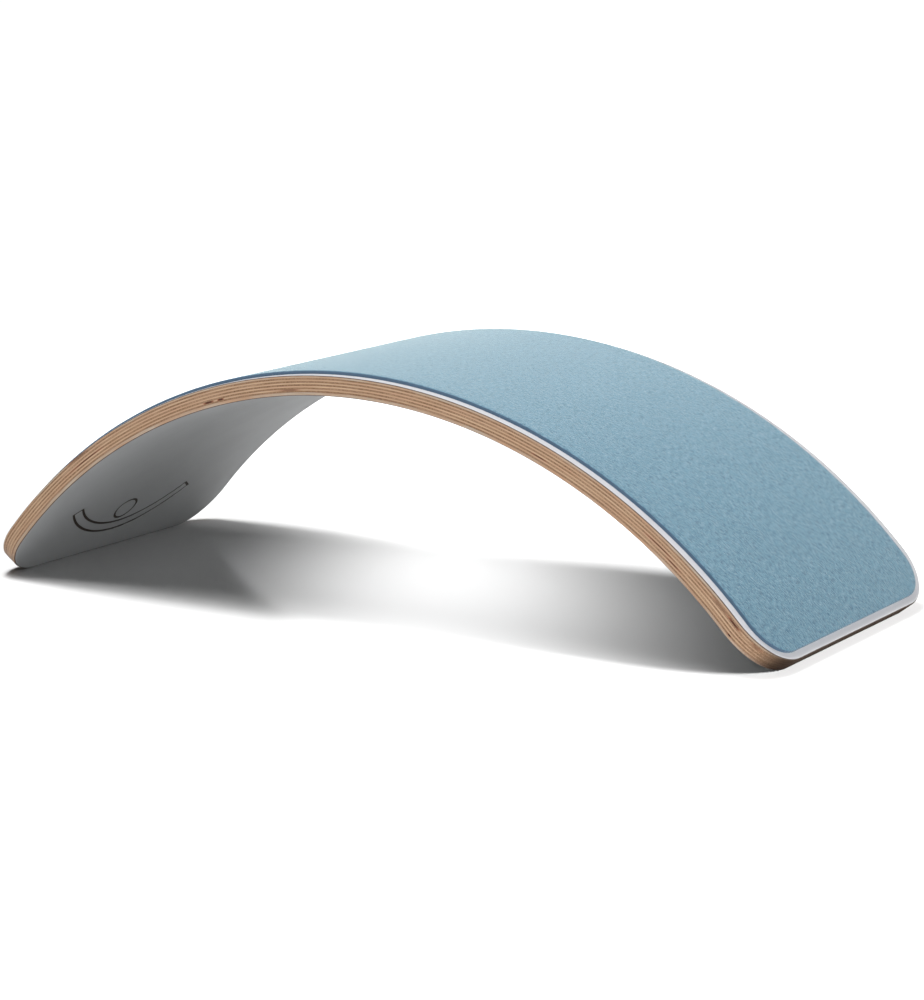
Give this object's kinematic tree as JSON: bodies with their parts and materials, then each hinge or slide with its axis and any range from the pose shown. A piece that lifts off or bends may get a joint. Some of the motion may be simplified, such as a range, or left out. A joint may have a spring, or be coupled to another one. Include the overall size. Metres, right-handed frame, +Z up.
{
  "type": "balance board",
  "caption": "Curved rocking balance board of moulded plywood, standing as a bridge, with white and grey laminate faces and a felt cover on the convex side.",
  "frame": {"origin": "on the ground, under the middle of the arch", "axes": "+Z up, +X along the board's length, +Y across its width"},
  "size_m": [0.8034, 0.3, 0.2134],
  "materials": {
    "felt": "pressed wool felt, mottled blue-grey",
    "white_laminate": "satin white laminate",
    "veneer_long_grain": "oiled birch veneer, grain along the board",
    "veneer_cross_grain": "oiled birch veneer, grain across the board",
    "grey_laminate": "satin grey laminate with a shallow laser-engraved drawing"
  },
  "bodies": {
    "root": {"felt_cover": "felt", "white_laminate": "white_laminate", "veneer_ply_01": "veneer_long_grain", "veneer_ply_02": "veneer_cross_grain", "veneer_ply_03": "veneer_long_grain", "veneer_ply_04": "veneer_cross_grain", "veneer_ply_05": "veneer_long_grain", "veneer_ply_06": "veneer_cross_grain", "veneer_ply_07": "veneer_long_grain", "veneer_ply_08": "veneer_cross_grain", "veneer_ply_09": "veneer_long_grain", "veneer_ply_10": "veneer_cross_grain", "veneer_ply_11": "veneer_long_grain", "grey_laminate": "grey_laminate"}
  },
  "joints": []
}
